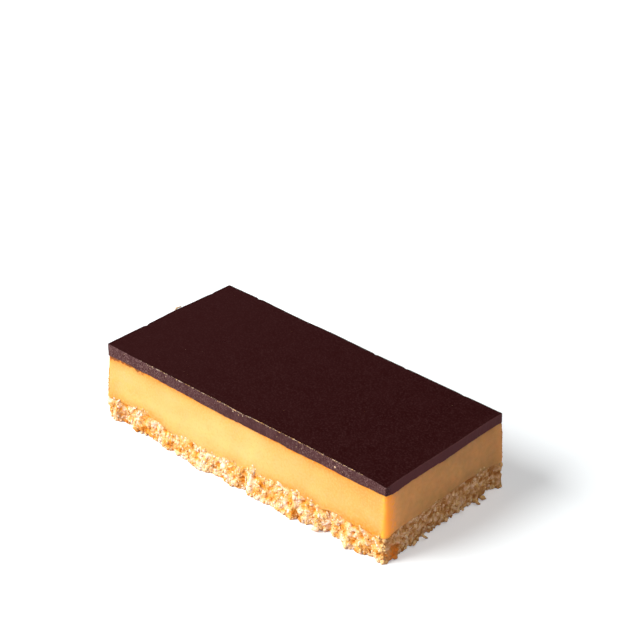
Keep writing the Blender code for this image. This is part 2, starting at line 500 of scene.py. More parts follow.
def chocolate_finish():
    finish = Finish("dark_chocolate")
    mottle = finish.blotches(0.5, detail=4.0)
    clouds = finish.blotches(6.0, detail=3.0)
    # Painted shade darkens the top towards the right, leaving a painted sheen at its left.
    top = finish.mix(finish.read("deep"), TOP_SHADE, TOP_PAINTED_SHADE)
    top = finish.mix(finish.span(clouds, 0.35, 0.65, 0.0, 0.5), top, TOP_SHADE)
    top = finish.mix(finish.span(mottle, 0.48, 0.66, 0.0, 0.9), top, TOP_MOTTLE)
    streaks = finish.blotches(0.7, detail=3.0, stretch=(1.0, 1.0, 2.0))
    dust = finish.blotches(0.35, detail=4.0, rough=0.7)
    # Painted light for the cut sides off the front, which lie in shade.
    painted_bounce_cut = finish.mix(mottle, *PAINTED_BOUNCE_CUT)
    dusty_cut = finish.mix(finish.span(streaks, 0.35, 0.65), *DUSTY_CUT)
    specks = finish.math("MULTIPLY", finish.span(dust, 0.50, 0.62), finish.read("powder"))
    dusty_cut = finish.mix(specks, dusty_cut, DUST)
    side = finish.mix(finish.read("scuff_and_painted_bounce"), painted_bounce_cut, dusty_cut)
    finish.set(Base_Color=finish.mix(finish.read("cut"), top, side))
    finish.set(Roughness=finish.span(mottle, 0.3, 0.7, 0.42, 0.55))
    finish.set(Specular_IOR_Level=0.05)
    finish.bump(finish.blotches(0.35, detail=3.0), 0.02, 0.5)
    return finish


chocolate_look = chocolate_finish()
finish_piece(chocolate, chocolate_look, "chocolate", "chocolate_layer")

# %% [markdown]
# ## Caramel
# Set caramel is soft and slightly see-through, so light soaks in and comes out warmer at edges
# and beside darker layers. Its cut side is silky and leans out a little towards the foot, where
# the knife pressed it. Points every 0.4 mm are enough for its soft waves.

# %% Caramel: shape of the cut side
CARAMEL_STEP = 0.4
CARAMEL_CORNERS = (1.3, 0.5, 0.9, 0.5)
CARAMEL_ROOT = 1.2
CARAMEL_TUCK, CARAMEL_LEAN = 0.22, 0.55
CARAMEL_WAVES = ((0.20, 16.0, 2.0), (0.10, 5.0, 2.5), (0.035, 1.1, 11.0))
LEFT_PUSH, RIGHT_PUSH, PUSH_REACH = 0.6, 0.4, 2.0


def caramel_side(loop, outwards, heights, share):
    """One ring of the caramel's side: set back under the chocolate, pushed out at two corners."""
    waves = swells(np.column_stack((loop, heights)), CARAMEL_WAVES)
    outward = -CARAMEL_TUCK + CARAMEL_LEAN * (1 - share) + waves * (1 - share**6)
    from_right = np.hypot(loop[:, 0] - HALF_LENGTH, loop[:, 1] - HALF_WIDTH)
    from_left = np.hypot(loop[:, 0] + HALF_LENGTH, loop[:, 1] + HALF_WIDTH)
    outward += RIGHT_PUSH * np.exp(-((from_right / PUSH_REACH) ** 2)) * (1 - share**8)
    outward += LEFT_PUSH * np.exp(-((from_left / PUSH_REACH) ** 2)) * (1 - share) ** 2
    return loop + outwards * outward[:, None], heights


# %% [markdown]
# The caramel's colour changes with the place. Painted shade makes it darker and warmer under the
# chocolate, by the crumb and towards both ends of the front, and duller on the shaded sides off
# the front; a painted glow lights the front corner, where light soaks through; and it is stained
# brown where the blade dragged chocolate down. Each change is worked out for every point and kept
# on the mesh, so the material only has to blend colours by those numbers. A painted picture would
# do it too, but numbers on points stay with the shape.

# %% Caramel: where its colour changes
# Painted shade: how much darker and more orange the caramel is painted under the chocolate, by the
# crumb and along the front.
PAINTED_SHADE_ALONG_FRONT = ((-52, 0.24), (-44, 0.18), (-22, 0.03), (5, 0.04), (27, 0.25), (45, 0.42))
WARM_UNDER = ((30, 0.95), (45, 0.60))
WARM_FADE = ((-40, 2.2), (-20, 1.6))
WARM_ABOVE, WARM_ABOVE_FADE = 0.42, 1.5
WARM_ALL, WARM_CLOUDS, WARM_AWAY = 0.03, 0.24, 0.2
END_SHADE, END_TOP_SHADE, END_FOOT_SHADE = 0.17, 0.24, 0.22
END_TOP_FADE, END_FOOT_FADE = 1.5, 2.0
SHADE_CLOUDS = ((0.16, 6.0, 21.0), (0.16, 1.6, 22.0))
GLOW_ON_FRONT, GLOW_ON_END = 1.0, 3.0
GLOW_RAGGED = ((0.8, 0.7, 19.0),)
SOAK_REACH, EDGE_REACH = 7.0, 1.2
EDGE_SOAK, CORNER_SOAK = 0.6, 0.5
STAIN_REACH = ((-52, 1.20), (-48, 0.70), (-40, 0.70), (-36, 0.36))
STAIN_STRENGTH = ((-40, 1.0), (-36, 0.35))
STAIN_RAGGED = ((1.4, 1.2, 13.0), (1.0, 0.5, 14.0))
BLOT_X, BLOT_WIDTH, BLOT_DROP = -40.4, 0.9, 0.60


def painted_warm_shade(points):
    """Painted shade, darker and more orange: under chocolate, on crumb, to the right."""
    x, y, z = points.T
    front = near_side(y + HALF_WIDTH)
    below = chocolate_line(x, y) - z
    under = rises(x, WARM_UNDER) * np.exp(-below / rises(x, WARM_FADE))
    above = WARM_ABOVE * np.exp(-np.clip(z - crumb_line(x, y), 0, None) / WARM_ABOVE_FADE)
    clouds = WARM_CLOUDS * swell(points * (1.0, 1.0, 1.8), 8.0, 12.0)
    warm = np.clip(WARM_ALL + under + above + rises(x, PAINTED_SHADE_ALONG_FRONT) + clouds, 0, 1)
    return np.where(front > 0.5, warm, WARM_AWAY * warm)


def shade_of_end(points):
    """How dull the caramel looks off the front: more beside the chocolate and the crumb."""
    x, y, z = points.T
    top = END_TOP_SHADE * np.exp(-(chocolate_line(x, y) - z) / END_TOP_FADE)
    foot = END_FOOT_SHADE * np.exp(-np.clip(z - crumb_line(x, y), 0, None) / END_FOOT_FADE)
    shade = END_SHADE + top + foot + swells(points, SHADE_CLOUDS)
    return np.where(y + HALF_WIDTH > SIDE_DEPTH, np.clip(shade, 0, 1), 0)


def painted_corner_glow(points):
    """Painted glow where light soaks through the front corner: a ragged band, wider on the short side.
    """
    from_front = (HALF_LENGTH - points[:, 0]) / GLOW_ON_FRONT
    from_end = (points[:, 1] + HALF_WIDTH) / GLOW_ON_END
    away = np.hypot(from_front, from_end) + swells(points, GLOW_RAGGED)
    return np.exp(-(np.clip(away, 0, None) ** 3))


def soaked_light(points):
    """Painted glow for light that comes through from the lit side: it fades along the short side."""
    x, y, _ = points.T
    from_corner = np.clip(y + HALF_WIDTH, 0, None) / SOAK_REACH
    from_right = np.clip(HALF_WIDTH - y, 0, None) / EDGE_REACH
    on_end = near_side(HALF_LENGTH - x) * (np.exp(-from_corner) + EDGE_SOAK * np.exp(-from_right))
    return on_end + CORNER_SOAK * painted_corner_glow(points)


def stain(points):
    """A thin brown line under the chocolate, thicker where the knife dragged at the left."""
    x, y, z = points.T
    blot = BLOT_DROP * np.exp(-(((x - BLOT_X) / BLOT_WIDTH) ** 2))
    drop = (chocolate_line(x, y) - z) / (rises(x, STAIN_REACH) + blot)
    depth = np.clip(2.0 - 1.6 * drop + swells(points, STAIN_RAGGED), 0, 1)
    return near_side(y + HALF_WIDTH) * rises(x, STAIN_STRENGTH) * depth


# %% [markdown]
# The mesh is one closed loft. It starts a little below the crumb's line and ends a little inside
# the chocolate, so no gap shows between the layers however wavy their lines are.

# %% Caramel: mesh
def make_caramel():
    loop, outwards = walk_round(CARAMEL_CORNERS, CARAMEL_STEP)
    low = crumb_line(*loop.T) - CARAMEL_ROOT
    high = chocolate_line(*loop.T) + 0.3
    rings = []
    for inset in (HALF_WIDTH, 14.0, 5.0, 1.5):
        inner = shrink(loop, inset)
        rings.append((inner, base_top(*inner.T) - CARAMEL_ROOT))
    for share in (*np.linspace(0.0, 0.9, 32, endpoint=False), *np.linspace(0.9, 1.0, 13)):
        rings.append(caramel_side(loop, outwards, low + share * (high - low), share))
    rim, _ = rings[-1]
    for inset in (0.4, 1.5, 5.0, 14.0, HALF_WIDTH):
        inner = shrink(rim, inset)
        rings.append((inner, caramel_top(*inner.T) + 0.05))
    points = stack(rings)
    piece = mesh_object("caramel", points, loft_faces(len(rings), len(loop)))
    # Painted shade, painted glow and a brown stain, worked out for every point.
    paint(piece, "painted_warm_shade", painted_warm_shade(points))
    paint(piece, "stain", stain(points))
    paint(piece, "corner", painted_corner_glow(points))
    paint(piece, "soaked", soaked_light(points))
    paint(piece, "shaded", shade_of_end(points))
    return piece


caramel = make_caramel()

# %% [markdown]
# Subsurface scattering lets light wander under the skin, red the farthest, which gives caramel
# its glow. It alone doesn't reach far enough round the front corner at this size, so the skin
# there also gives off a faint orange light of its own.

# %% Caramel: finish
PLAIN_CARAMEL, WARM_PAINTED_SHADE = (0.83, 0.500, 0.168), (0.80, 0.260, 0.022)
PALE_FLECK, DARK_FLECK, BUBBLE = (0.87, 0.54, 0.215), (0.78, 0.31, 0.050), (0.72, 0.28, 0.08)
SHADED_CARAMEL, CORNER_GLOW_CARAMEL = (0.36, 0.243, 0.087), (0.97, 0.430, 0.026)
STAINED_CARAMEL = (0.26, 0.085, 0.017)
CARAMEL_GLOW_COLOR, CARAMEL_GLOW = (1.0, 0.36, 0.10), 0.22


def caramel_finish():
    finish = Finish("set_caramel")
    flecks = finish.blotches(0.6, detail=3.0)
    # Painted shade: darker and more orange under the chocolate, by the crumb and along the front.
    body = finish.mix(finish.read("painted_warm_shade"), PLAIN_CARAMEL, WARM_PAINTED_SHADE)
    body = finish.mix(finish.span(flecks, 0.45, 0.75, 0.0, 0.4), body, PALE_FLECK)
    body = finish.mix(finish.span(flecks, 0.25, 0.44, 0.4, 0.0), body, DARK_FLECK)
    body = finish.mix(finish.span(finish.cells(1.7), 0.05, 0.11, 0.35, 0.0), body, BUBBLE)
    body = finish.mix(finish.read("shaded"), body, SHADED_CARAMEL)
    # Painted glow: the front corner is painted bright orange, for light that soaks through it.
    body = finish.mix(finish.read("corner"), body, CORNER_GLOW_CARAMEL)
    body = finish.mix(finish.read("stain"), body, STAINED_CARAMEL)
    finish.set(Base_Color=body)
    finish.set(Roughness=finish.span(flecks, 0.3, 0.7, 0.5, 0.62))
    finish.set(Specular_IOR_Level=0.15)
    finish.set(Subsurface_Weight=0.8, Subsurface_Scale=3.0 * MM)
    finish.shader.inputs["Subsurface Radius"].default_value = (1.0, 0.36, 0.12)
    finish.set(Emission_Color=CARAMEL_GLOW_COLOR)
    glow = finish.math("MULTIPLY", finish.read("soaked"), CARAMEL_GLOW)
    finish.set(Emission_Strength=glow)
    finish.bump(finish.blotches(0.5, detail=4.0), 0.03, 0.5)
    return finish


caramel_look = caramel_finish()
finish_piece(caramel, caramel_look, "caramel", "caramel_layer")

# %% [markdown]
# ## Base
# The base is pressed crumb. Its core is a loft like the others, but rough: pebble noise at three
# sizes makes packed lumps with cracks between, and the foot spreads by amounts that differ
# along the two sides seen and are kept in tables. Crumbs and flakes are laid over it afterwards,
# so the core only has to look right in the gaps.

# %% Base: foot
BASE_STEP = 0.2
BASE_CORNERS = (1.4, 1.0, 1.5, 0.9)
BASE_STAND_OUT = 0.3
FOOT_RADIUS = 0.7
FOOT_FRONT = (
    (-53, 0.3), (-50, 1.4), (-48, -0.6), (-46, -0.3), (-42, 1.0), (-39, 0.3), (-35, 0.2), (-32, 0.7),
    (-29, 1.6), (-27, 0.7), (-24, 1.6), (-22, 1.5), (-19, 1.9), (-16, 2.6), (-12, 1.6), (-9, 1.0),
    (-5, 1.9), (-1, 1.8), (1.5, 0.5), (4, 2.2), (9, 1.7), (12, 1.3), (16, 2.2), (20.5, 2.8),
    (22, 1.1), (25, 1.4), (27, 0.0), (28.7, 1.6), (31, 0.3), (32.5, -0.9), (34.5, 0.4), (36.5, 0.2),
    (38, 0.7), (40, 2.2), (42, 1.2), (44, 1.4), (46, 0.5), (47.5, -0.5), (50, 1.1), (53, 0.0),
)
FOOT_END = (
    (-24, 0.6), (-20, 0.3), (-17, -0.3), (-11, -0.1), (-7, -0.6), (-3, -0.3), (0, -0.6), (3, -0.2),
    (7, -0.5), (11, -0.3), (14, 0.2), (16.5, 0.4), (18.5, -0.1), (21.5, -1.5), (23, -1.0), (24, 0.8),
)
FOOT_OTHER = 0.7
CORNER_SWELLS = ((-53.7, -24.2, (0.1, 1.3, 0.6)), (50.5, 25.5, (1.2, 1.2, 0.8)))
CORNER_SWELL_REACH = 3.0
HOLE_SPACING, HOLE_REACH, HOLE_DEPTH = 2.3, 0.42, 0.9
END_HOLES = 0.6
DEEP_HOLES = ((52.5, 10.3, 9.7, 0.8, 2.2), (52.5, 11.8, 9.2, 1.1, 1.2))


def foot_spread(x, y):
    """How far the foot of the base stands out past the line of the knife."""
    front = near_side(y + HALF_WIDTH)
    end = near_side(HALF_LENGTH - x) * (1 - front)
    other = 1 - front - end
    return front * rises(x, FOOT_FRONT) + end * rises(y, FOOT_END) + other * FOOT_OTHER


def corner_swell(x, y, share):
    """The base bulges at its left and right corners, by amounts at its foot, middle and top."""
    bulge = np.zeros(len(x))
    for corner_x, corner_y, amounts in CORNER_SWELLS:
        away = ((x - corner_x) ** 2 + (y - corner_y) ** 2) / CORNER_SWELL_REACH**2
        bulge += np.interp(share, (0.0, 0.5, 1.0), amounts) * np.exp(-away)
    return bulge


def pits(place):
    """How deep the holes between crumbs are: small ones all over, and a few deep ones."""
    away = pebble(place, HOLE_SPACING, 6.0) * HOLE_SPACING / HOLE_REACH
    depth = HOLE_DEPTH * np.exp(-(away**2))
    depth *= 1 + END_HOLES * near_side(HALF_LENGTH - place[:, 0])
    for x, y, z, reach, deep in DEEP_HOLES:
        away = np.linalg.norm(place - (x, y, z), axis=1) / reach
        depth += deep * np.exp(-(away**2))
    return depth


# %% [markdown]
# The relief of each point is worked out with its place, and both are kept: the relief says how
# dark a point looks, as painted shade in the cracks.

# %% Base: core
PEBBLE_MIDDLE = 0.45
CLUMPS = (0.8, 3.3, 3.0)
LUMPS = (0.55, 1.4, 1.0)
GRAINS = (0.24, 0.7, 2.0)
CLUMPS_SEEN = 0.4
BASE_TUCK = 0.2
CRUMB_EDGE = ((0.35, 1.3, 15.0),)
SMOOTH_RELIEF = 0.1
SOAKED_Y, SOAKED_WIDTH, SOAKED_Z, SOAKED_TALL = -20.9, 2.3, 2.4, 2.0
SOAKED_RAGGED = ((2.0, 0.8, 24.0),)


def bumps(place, height, size, seed):
    """Pebbles of a height and size in mm, with cracks between them that go as deep."""
    return height * (PEBBLE_MIDDLE - pebble(place, size, seed))


def base_side(loop, outwards, share, line):
    """One ring of the base's side, its heights, and the relief that the colours follow."""
    heights = share * line
    place = np.column_stack((loop, heights))
    spread = BASE_STAND_OUT + (foot_spread(*loop.T) - BASE_STAND_OUT) * (1 - share) ** 0.8
    foot = np.clip(FOOT_RADIUS - heights, 0, FOOT_RADIUS)
    spread -= FOOT_RADIUS - np.sqrt(FOOT_RADIUS**2 - foot**2)
    clumps = bumps(place, *CLUMPS)
    relief = CLUMPS_SEEN * clumps + bumps(place, *LUMPS) + bumps(place, *GRAINS) - pits(place)
    calm = 1 - 0.5 * share**4
    lie = spread - BASE_TUCK + corner_swell(*loop.T, share)
    outward = lie + ((1 - CLUMPS_SEEN) * clumps + relief) * calm
    return loop + outwards * outward[:, None], heights, relief


def make_base():
    loop, outwards = walk_round(BASE_CORNERS, BASE_STEP)
    line = crumb_line(*loop.T) + swells(flat_points(loop, 0.0), CRUMB_EDGE)
    smooth = np.full(len(loop), SMOOTH_RELIEF)
    rings = []
    reliefs = []
    first, _, _ = base_side(loop, outwards, 0.0, line)
    for inset in (HALF_WIDTH, 12.0, 4.0, 1.0):
        rings.append((shrink(first, inset), np.zeros(len(loop))))
        reliefs.append(smooth)
    shares = np.linspace(0.0, 1.0, 42)
    for share in shares:
        ring, heights, relief = base_side(loop, outwards, share, line)
        rings.append((ring, heights))
        reliefs.append(relief)
    rim, _ = rings[-1]
    for inset, drop in ((0.6, 0.1), (1.5, 0.8), (5.0, 0.9), (14.0, 0.9), (HALF_WIDTH, 0.9)):
        inner = shrink(rim, inset)
        rings.append((inner, base_top(*inner.T) - drop))
        reliefs.append(smooth)
    points = stack(rings)
    piece = mesh_object("base_core", points, loft_faces(len(rings), len(loop)))
    reliefs = np.concatenate(reliefs)
    paint(piece, "proud", proudness(reliefs))
    paint(piece, "soaked", soaked_crumb(points))
    paint(piece, "shaded", near_side(HALF_LENGTH - points[:, 0]))
    return piece, reliefs, len(loop), len(shares)


def proudness(relief):
    """From 0 in the cracks to 1 on the tops, and below 0 in holes, for a relief in mm."""
    return np.clip(0.5 + 1.1 * relief, -1, 1)


def soaked_crumb(points):
    """Painted glow on the crumb of the short side, by the front corner, where light comes through."""
    x, y, z = points.T
    away = ((y - SOAKED_Y) / SOAKED_WIDTH) ** 2 + ((z - SOAKED_Z) / SOAKED_TALL) ** 2
    away += swells(points, SOAKED_RAGGED)
    return near_side(HALF_LENGTH - x) * np.exp(-np.clip(away, 0, None))


base_core, base_reliefs, base_around, base_rings = make_base()

# %% [markdown]
# Baked crumb runs from cream coconut through honey biscuit to orange-brown, and painted shade
# makes the cracks orange-brown too. One recipe serves the core, the crumbs and the flakes: `proud`
# says how far a point stands out of the cracks, and below 0 it lies in a hollow painted dark as
# shade. `tint` gives each crumb its own shade. `shaded` picks browner shades for the short side,
# painted shade for the side out of the light, and `soaked` the orange patch by the front corner, a
# painted glow where a little light comes through the crumb.

# %% Base: finish
PAINTED_CRACK_SHADE = (0.78, 0.310, 0.024)
PAINTED_HOLLOW_SHADE = (0.34, 0.120, 0.022)
GOLDEN = (1.0, 0.84, 0.50)
CRUMB_GLOW_COLOR, CRUMB_GLOW = (1.0, 0.24, 0.02), 0.06
CRUMB_SHADES = (
    (0.00, (0.52, 0.190, 0.024)), (0.18, (0.64, 0.290, 0.056)), (0.36, (0.70, 0.400, 0.140)),
    (0.52, (0.73, 0.500, 0.260)), (0.68, (0.77, 0.600, 0.395)), (0.84, (0.82, 0.665, 0.495)),
    (1.00, (0.88, 0.735, 0.585)),
)
SHADED_CRACK = (0.53, 0.245, 0.060)
SHADED_SHADES = (
    (0.00, (0.49, 0.225, 0.055)), (0.30, (0.64, 0.375, 0.120)), (0.55, (0.82, 0.540, 0.220)),
    (0.80, (0.96, 0.690, 0.340)), (1.00, (1.00, 0.785, 0.460)),
)
SOAKED_PAINTED_GLOW = (0.74, 0.250, 0.030)


def crumb_finish(name, shade_shift, grain_size, soak=0.4):
    """A crumb material: shade_shift makes it paler, and light soaks in soak mm deep."""
    finish = Finish(name)
    grain = finish.blotches(grain_size, detail=3.0, rough=0.6)
    shade = finish.math("ADD", finish.read("tint"), finish.span(grain, 0.3, 0.7, -0.3, 0.3))
    shade = finish.math("ADD", shade, shade_shift)
    toasted = finish.span(finish.blotches(2.2), 0.50, 0.60)
    lit = finish.mix(toasted, finish.ramp(shade, CRUMB_SHADES), GOLDEN, "MULTIPLY")
    proud = finish.read("proud")
    # Painted shade: cracks and the undersides of crumbs turn orange-brown.
    cracks = finish.span(proud, 0.0, 0.6, 0.9, 0.0)
    lit = finish.mix(cracks, lit, PAINTED_CRACK_SHADE)
    shaded = finish.mix(cracks, finish.ramp(shade, SHADED_SHADES), SHADED_CRACK)
    # Painted glow: the patch by the front corner is painted orange, and gives off a faint light.
    shaded = finish.mix(finish.read("soaked"), shaded, SOAKED_PAINTED_GLOW)
    color = finish.mix(finish.read("shaded"), lit, shaded)
    # Painted shade: deep hollows turn dark brown.
    finish.set(Base_Color=finish.mix(finish.span(proud, -0.8, -0.2, 0.9, 0.0), color, PAINTED_HOLLOW_SHADE))
    finish.set(Roughness=0.9, Specular_IOR_Level=0.12)
    finish.set(Subsurface_Weight=soak, Subsurface_Scale=soak * MM)
    finish.shader.inputs["Subsurface Radius"].default_value = (1.0, 0.75, 0.5)
    finish.set(Emission_Color=CRUMB_GLOW_COLOR)
    finish.set(Emission_Strength=finish.math("MULTIPLY", finish.read("soaked"), CRUMB_GLOW))
    finish.bump(grain, 0.03, 0.5)
    return finish


core_look = crumb_finish("pressed_crumb", 0.05, 0.45)
finish_piece(base_core, core_look, "crumb", "biscuit_base")

# %% [markdown]
# ## Crumbs and flakes
# Thousands of small bits cover the core's sides. Each kind is one joined mesh: a few master
# shapes are made once, then copied, stretched and turned onto the core. Geometry nodes could
# scatter them too, but plain arrays let each bit know how deep it sits, which sets its painted shade.

# %% Master shapes
def lump_shape(seed, detail, rough):
    """A crumb: a small ball, knocked out of shape by noise. Gives its points and faces."""
    bm = bmesh.new()
    bmesh.ops.create_icosphere(bm, subdivisions=detail, radius=1.0)
    points = np.array([vert.co for vert in bm.verts])
    faces = np.array([[vert.index for vert in face.verts] for face in bm.faces])
    bm.free()
    knocks = 1.0 + rough * swell(points, 0.8, seed) + 0.5 * rough * swell(points, 0.4, seed + 0.5)
    return points * knocks[:, None], faces


def flake_shape(seed, bend, twist):
    """A shred of coconut: a flat six-sided tube, bent and twisted, with thin ends."""
    rings = 8
    sides = 6
    share = np.linspace(-1, 1, rings)
    round_angle = np.linspace(0, 2 * math.pi, sides, endpoint=False)
    along, angle = np.meshgrid(share, round_angle, indexing="ij")
    taper = np.sqrt(np.clip(1.02 - along**4, 0, 1)) * (1 + 0.35 * swell_flat(along, seed))
    across = np.cos(angle + twist * along) * taper
    thick = np.sin(angle + twist * along) * taper + bend * (1 - along**2)
    points = np.stack((along, across, thick), axis=-1).reshape(-1, 3)
    tube = loft_faces(rings, sides)
    split = np.concatenate((tube[:, [0, 1, 2]], tube[:, [0, 2, 3]]))
    caps = [(0, side + 1, side) for side in range(1, sides - 1)]
    last = (rings - 1) * sides
    caps += [(last, last + side, last + side + 1) for side in range(1, sides - 1)]
    return points, np.concatenate((split, caps))


def swell_flat(values, seed):
    """Smooth noise along one axis, for an array of any shape."""
    flat = np.column_stack((values.ravel(), np.zeros(values.size), np.zeros(values.size)))
    return swell(flat, 0.6, seed).reshape(values.shape)


crumb_shapes = [lump_shape(20.0 + count, 2, 0.35) for count in range(14)]
grain_shapes = [lump_shape(50.0 + count, 1, 0.4) for count in range(8)]
flake_shapes = [
    flake_shape(70.0 + count, bend, twist)
    for count, (bend, twist) in enumerate(
        ((0.5, 0.3), (-0.6, -0.5), (1.2, 0.7), (0.1, 1.1), (-1.4, 0.2), (0.8, -0.9), (2.0, 0.4))
    )
]
print(len(crumb_shapes), "crumbs,", len(grain_shapes), "grains,", len(flake_shapes), "flakes")


# %% [markdown]
# One function turns, stretches and joins the copies. It also notes how far each point of a bit
# stands out, because the deep ends and the undersides of crumbs get painted shade, browner than
# their tops.

# %% Copies of the shapes
UNDERSIDE_SHADE = 0.9
BARE_RELIEF = 0.3
LOWEST_POINT = 0.02


def unit(vectors):
    return vectors / np.linalg.norm(vectors, axis=-1, keepdims=True)


def lengths(rng, middle, spread, count, limits=(0.0, math.inf)):
    """Half lengths in mm: most are near a middle one, and a few are much longer."""
    return np.clip(rng.lognormal(math.log(middle), spread, count), *limits)


def strew(
    name, shapes, places, outwards, sizes, sinks, tints, rng, tilt=0.35, reliefs=None, ahead=None
):
    """One mesh of many bits: copies of the shapes at places, flat side out, turned at random.

    sizes holds each bit's half length, half width and half thickness. sinks says how far its
    middle lies under the surface at its place, and reliefs how far that surface stands out.
    ahead holds the ways that the bits point, where those aren't left to chance.
    """
    count = len(places)
    up = unit(outwards + tilt * rng.normal(size=(count, 3)))
    if ahead is None:
        ahead = rng.normal(size=(count, 3))
    ahead = unit(ahead - up * np.sum(ahead * up, axis=1, keepdims=True))
    across = np.cross(up, ahead)
    points = []
    faces = []
    prouds = []
    shades = []
    start = 0
    for bit in range(count):
        shape, shape_faces = shapes[bit % len(shapes)]
        turned = shape * sizes[bit]
        offset = turned @ np.stack((ahead[bit], across[bit], up[bit]))
        offset = offset - sinks[bit] * outwards[bit]
        points.append(places[bit] + offset)
        depth = offset @ outwards[bit] + UNDERSIDE_SHADE * offset[:, 2]
        prouds.append(depth + (BARE_RELIEF if reliefs is None else reliefs[bit]))
        shades.append(np.full(len(shape), tints[bit]))
        faces.append(shape_faces + start)
        start += len(shape)
    points = np.concatenate(points)
    points[:, 2] = np.clip(points[:, 2], LOWEST_POINT, None)
    piece = mesh_object(name, points, np.concatenate(faces))
    paint(piece, "proud", proudness(np.concatenate(prouds)))
    paint(piece, "tint", np.concatenate(shades))
    paint(piece, "soaked", soaked_crumb(points))
    paint(piece, "shaded", near_side(HALF_LENGTH - points[:, 0]))
    return piece


# %% [markdown]
# The bits are not all of one shade. Some places on the two sides show a big pale lump and some
# a dark gap, so a tone map made of soft spots shifts the shades there: its dark spots are partly
# darker crumb and partly painted shade in gaps and hollows. Each spot is (place along the side,
# height, half width, half height, shift of shade). Smooth noise shifts the rest.

# %% Tone of the two sides
FRONT_SPOTS = (
    (-48.5, 8.2, 0.8, 0.5, 0.3), (-42.0, 8.3, 1.4, 0.6, 0.4), (-32.0, 5.7, 1.9, 0.6, 0.45),
    (-33.0, 2.5, 1.5, 1.5, 0.25), (-22.3, 6.5, 2.2, 0.9, 0.4), (-14.5, 2.5, 1.2, 1.3, 0.3),
    (-9.0, 5.8, 1.5, 0.8, 0.3), (2.0, 7.2, 1.5, 0.8, 0.15), (4.3, 8.6, 1.5, 0.8, 0.2),
    (15.5, 7.4, 2.6, 0.9, 0.35), (16.5, 2.0, 1.6, 1.8, 0.2),
    (28.5, 5.2, 1.8, 0.7, 0.3), (42.5, 6.3, 1.2, 1.3, 0.45), (45.0, 6.5, 1.0, 1.5, 0.4),
    (29.0, 0.8, 1.5, 0.9, 0.3), (24.5, 7.8, 1.2, 0.8, 0.2),
    (-46.8, 6.4, 0.9, 0.5, -0.35), (-42.8, 6.0, 0.8, 1.2, -0.3), (-39.3, 2.0, 0.8, 0.9, -0.6),
    (-37.3, 2.6, 1.0, 0.8, -0.4), (-35.3, 2.0, 0.9, 1.3, -0.55), (-41.5, 2.0, 1.0, 1.0, -0.3),
    (-40.0, 8.8, 3.5, 0.5, -0.45), (-35.0, 8.0, 3.0, 0.4, -0.4), (-30.0, 5.9, 0.8, 0.6, -0.3),
    (-29.5, 1.8, 1.0, 1.5, -0.35), (-28.0, 2.5, 0.7, 0.8, -0.4), (-26.0, 1.8, 0.9, 0.9, -0.55),
    (-20.0, 2.0, 1.2, 1.5, -0.3), (-19.0, 5.8, 0.7, 1.5, -0.35), (-13.6, 5.8, 0.5, 0.4, -0.3),
    (-8.2, 3.5, 1.2, 0.8, -0.3), (-4.0, 7.5, 2.5, 0.4, -0.35), (-2.0, 4.0, 2.0, 1.5, -0.35),
    (-0.3, 0.8, 0.8, 1.0, -0.35), (7.7, 4.7, 0.6, 1.0, -0.5), (8.9, 5.0, 1.0, 0.5, -0.5),
    (10.9, 4.8, 0.5, 0.8, -0.5), (11.7, 2.8, 1.2, 1.0, -0.5), (6.7, 6.3, 0.9, 0.5, -0.3),
    (7.5, 7.8, 1.5, 0.4, -0.3), (19.3, 5.5, 0.6, 1.0, -0.4), (22.4, 0.9, 0.8, 0.9, -0.6),
    (23.8, 6.3, 1.0, 1.2, -0.2), (20.5, 2.6, 0.9, 0.8, -0.3), (26.5, 8.6, 1.0, 0.5, -0.35),
    (28.8, 3.6, 0.9, 0.9, -0.45), (27.3, 2.2, 0.8, 0.8, -0.35), (34.8, 8.9, 1.6, 0.5, -0.35),
    (31.5, 7.0, 1.5, 1.0, -0.25), (38.0, 4.5, 0.9, 0.7, -0.5), (37.0, 4.8, 1.6, 1.2, -0.2),
    (45.0, 8.7, 2.6, 0.4, -0.4), (50.0, 8.2, 3.5, 1.0, -0.4), (47.3, 4.8, 1.0, 1.0, -0.35),
    (51.0, 6.4, 1.2, 0.9, -0.4), (50.0, 3.5, 2.0, 1.6, -0.25), (45.8, 2.2, 1.2, 0.8, -0.3),
    (-51.5, 2.0, 2.5, 1.8, -0.10),
)
END_SPOTS = (
    (11.5, 9.4, 1.0, 1.2, -0.7), (-14.5, 8.0, 3.0, 1.2, 0.15), (-11.0, 8.5, 1.5, 1.0, 0.3),
    (-6.0, 9.5, 1.0, 0.9, 0.4), (1.0, 8.7, 1.6, 0.7, 0.25), (0.5, 6.0, 1.5, 2.0, -0.3),
    (4.0, 4.0, 3.0, 1.0, -0.3), (14.0, 6.0, 1.5, 2.5, 0.2), (-18.0, 8.2, 1.2, 1.0, -0.25),
    (17.5, 9.5, 1.5, 1.0, -0.3), (21.5, 5.5, 1.5, 2.5, -0.2), (-15.0, 2.6, 1.5, 1.0, 0.3),
    (-9.0, 3.2, 1.2, 0.8, 0.3), (-21.4, 2.6, 2.2, 2.0, -0.6), (13.5, 3.3, 1.5, 1.0, -0.3),
)
CLOUDS = ((0.5, 2.4, 16.0),)
END_CLOUDS = ((0.9, 1.3, 23.0),)
SPOT_DEPTH = 0.5


def tone(points):
    """Shift of shade at each point: up at the pale spots of the two sides, down at the dark."""
    x, y, z = points.T
    front = near_side(y + HALF_WIDTH - SPOT_DEPTH)
    end = near_side(HALF_LENGTH - x - SPOT_DEPTH) * (1 - front)
    shift = swells(points, CLOUDS) + end * swells(points, END_CLOUDS)
    for side, along, spots in ((front, x, FRONT_SPOTS), (end, y, END_SPOTS)):
        for middle, height, width, tall, strength in spots:
            away = ((along - middle) / width) ** 2 + ((z - height) / tall) ** 2
            shift = shift + strength * np.exp(-away) * side
    return shift


# %% [markdown]
# The bits sit on points of the core's sides. They stay out of the deep holes and the cracks, and
# clear of the caramel above. Places that face down count as deeper, so bits there get painted
# shade and look browner.

